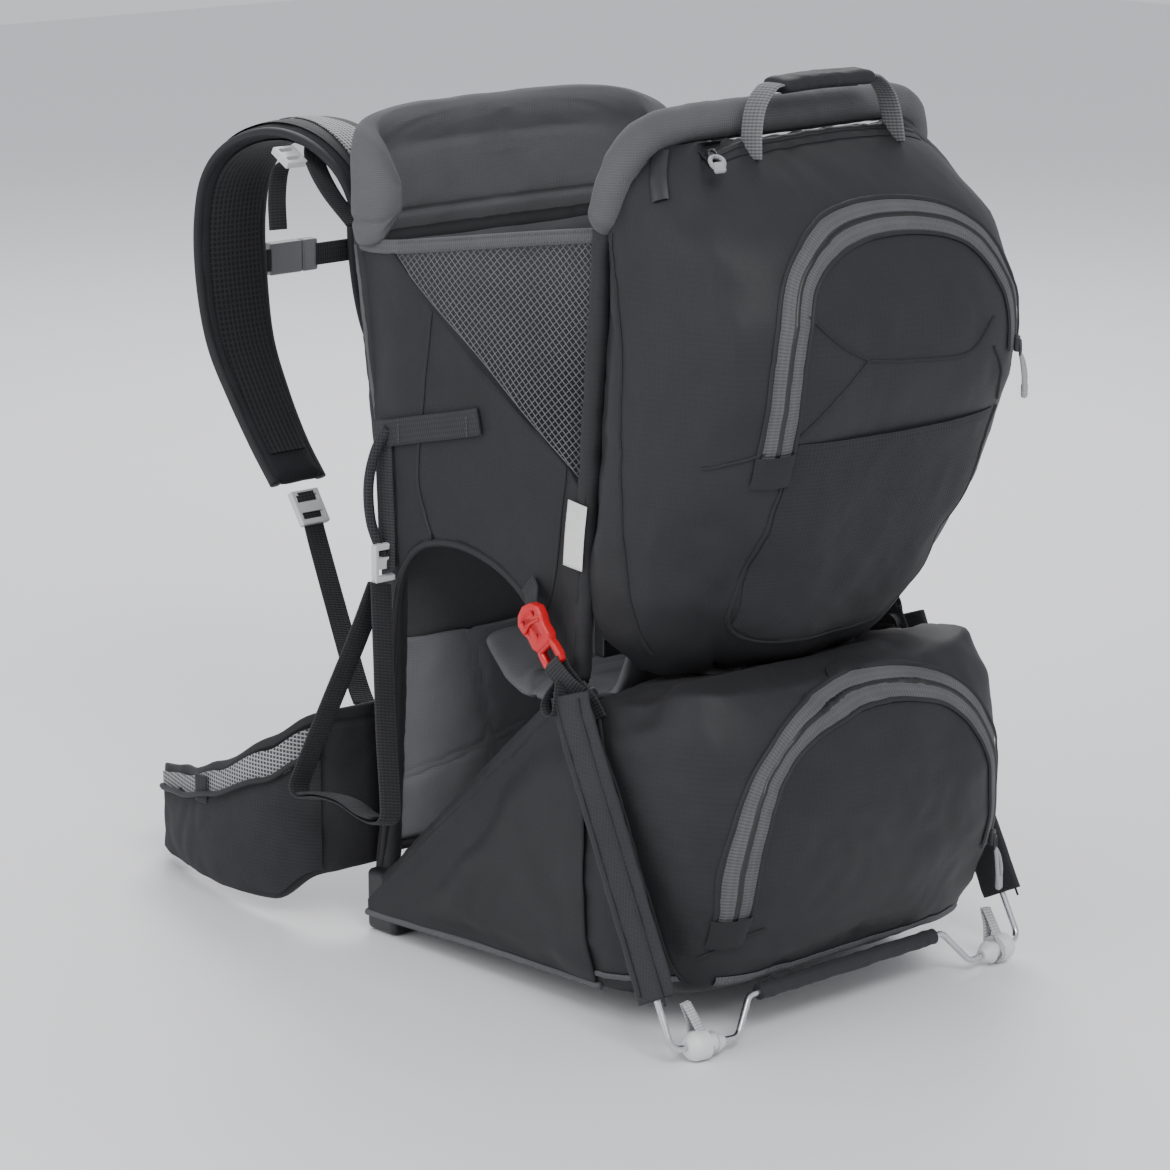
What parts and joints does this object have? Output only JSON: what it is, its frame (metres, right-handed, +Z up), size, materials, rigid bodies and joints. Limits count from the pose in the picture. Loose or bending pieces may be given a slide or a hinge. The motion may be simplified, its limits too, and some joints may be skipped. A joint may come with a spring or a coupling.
{
  "type": "framed child carrier backpack",
  "caption": "Framed backpack that carries a small child, with a tubular hoop cockpit, folding wire stand, rear storage bags, shoulder harness and hip belt.",
  "frame": {"origin": "on the ground under the middle of the carrier's outer box", "axes": "+Z up, +Y the way the wearer faces (shoulder straps and hip belt side), +X the wearer's right"},
  "size_m": [0.4314, 0.7277, 0.698],
  "materials": {
    "frame_tube": "satin anodised",
    "stand_wire": "satin",
    "fitting": "moulded, fine grain",
    "foot_rubber": "matte",
    "shell": "charcoal ripstop weave",
    "pad": "mid-grey woven melange",
    "rim": "grey padded weave",
    "mesh": "diamond net",
    "trim": "grey stitched binding",
    "webbing_dark": "ribbed webbing",
    "webbing_light": "light grey webbing",
    "lock_light": "light grey satin",
    "buckle_dark": "satin black",
    "buckle_red": "satin red",
    "zip": "coil"
  },
  "bodies": {
    "frame": {"back_frame": "frame_tube", "bottom_crossbar": "frame_tube", "cockpit_hoop": "frame_tube", "corner_fittings": "fitting", "kickstand_brackets": "fitting", "lower_bag": "shell", "upper_bag": "shell", "rim_pad": "rim", "headrest_pad": "pad", "side_panel_left": "shell", "side_panel_right": "shell", "side_mesh_left": "mesh", "side_mesh_right": "mesh", "side_trims": "trim", "child_back_panel": "pad", "child_front_lining": "trim", "child_harness_pads": "pad", "back_panel": "mesh", "lumbar_pad": "pad", "lower_webbing": "webbing_dark", "stirrup_locks": "lock_light", "grab_loops": "webbing_dark", "side_buckle_sockets": "buckle_red", "zip_coils": "zip"},
    "kickstand": {"kickstand_wire": "stand_wire", "kickstand_feet": "foot_rubber", "foot_loops": "webbing_light", "leg_sleeves": "shell"},
    "seat": {"child_seat": "shell", "child_buckle_socket": "buckle_dark"},
    "seat_tongue": {"child_buckle_tongue": "buckle_dark"},
    "harness": {"torso_yoke": "fitting", "shoulder_strap_left": "shell", "shoulder_strap_right": "shell", "load_lifters": "webbing_dark", "load_lifter_locks": "lock_light", "strap_locks": "lock_light"},
    "sternum": {"sternum_socket": "buckle_dark", "sternum_web_left": "webbing_dark"},
    "sternum_release": {"sternum_tongue": "buckle_dark", "sternum_web_right": "webbing_dark"},
    "belt_left": {"hip_wing_left": "shell", "belt_ring_left": "lock_light", "belt_webbing_left": "webbing_dark", "belt_buckle_tongue": "buckle_dark"},
    "belt_right": {"hip_wing_right": "shell", "belt_ring_right": "lock_light", "belt_webbing_right": "webbing_dark", "belt_buckle_socket": "buckle_dark"},
    "carry_handle": {"top_handle": "webbing_dark", "handle_grip": "shell"},
    "side_tongue_left": {"side_buckle_tongue_left": "buckle_red"},
    "side_tongue_right": {"side_buckle_tongue_right": "buckle_red"},
    "foot_loop_left": {"stirrup_left": "webbing_dark"},
    "foot_loop_right": {"stirrup_right": "webbing_dark"},
    "upper_slider": {"upper_zip_slider": "zip"},
    "lower_slider": {"lower_zip_slider": "zip"},
    "lid_slider": {"lid_zip_slider": "zip"}
  },
  "joints": [
    {"name": "kickstand_fold", "type": "hinge", "parent": "frame", "child": "kickstand", "pos_m": [0, -0.188, 0.246], "axis": [1, 0, 0], "range_deg": [0, 36]},
    {"name": "seat_height", "type": "slide", "parent": "frame", "child": "seat", "axis": [0, 0, 1], "range_m": [-0.012, 0.06]},
    {"name": "seat_buckle_release", "type": "slide", "parent": "seat", "child": "seat_tongue", "axis": [0, 0, 1], "range_m": [0, 0.02]},
    {"name": "torso_length", "type": "slide", "parent": "frame", "child": "harness", "axis": [0, 0.1322, 0.9912], "range_m": [-0.08, 0.02]},
    {"name": "sternum_height", "type": "slide", "parent": "harness", "child": "sternum", "axis": [0, 0.0919, 0.9958], "range_m": [-0.025, 0.025]},
    {"name": "sternum_buckle_release", "type": "slide", "parent": "sternum", "child": "sternum_release", "axis": [1, 0, 0], "range_m": [0, 0.018]},
    {"name": "hip_wing_left_flex", "type": "hinge", "parent": "frame", "child": "belt_left", "pos_m": [-0.108, 0.098, 0.09], "axis": [0, 0, 1], "range_deg": [-6, 8]},
    {"name": "hip_wing_right_flex", "type": "hinge", "parent": "frame", "child": "belt_right", "pos_m": [0.108, 0.098, 0.09], "axis": [0, 0, -1], "range_deg": [-6, 8]},
    {"name": "carry_handle_fold", "type": "hinge", "parent": "frame", "child": "carry_handle", "pos_m": [0, -0.259, 0.655], "axis": [1, 0, 0], "range_deg": [0, 75]},
    {"name": "side_buckle_left_release", "type": "slide", "parent": "frame", "child": "side_tongue_left", "axis": [0, -0.6691, -0.7431], "range_m": [0, 0.017]},
    {"name": "side_buckle_right_release", "type": "slide", "parent": "frame", "child": "side_tongue_right", "axis": [0, -0.6691, -0.7431], "range_m": [0, 0.017]},
    {"name": "stirrup_left_swing", "type": "hinge", "parent": "frame", "child": "foot_loop_left", "pos_m": [-0.164, 0.044, 0.29], "axis": [0, 1, 0], "range_deg": [0, 45]},
    {"name": "stirrup_right_swing", "type": "hinge", "parent": "frame", "child": "foot_loop_right", "pos_m": [0.164, 0.044, 0.29], "axis": [0, -1, 0], "range_deg": [0, 45]},
    {"name": "upper_zip_travel", "type": "slide", "parent": "frame", "child": "upper_slider", "axis": [0, 0, 1], "range_m": [0, 0.045]},
    {"name": "lower_zip_travel", "type": "slide", "parent": "frame", "child": "lower_slider", "axis": [0, 0, 1], "range_m": [0, 0.06]},
    {"name": "lid_zip_travel", "type": "slide", "parent": "frame", "child": "lid_slider", "axis": [1, 0, 0], "range_m": [0, 0.14]}
  ]
}
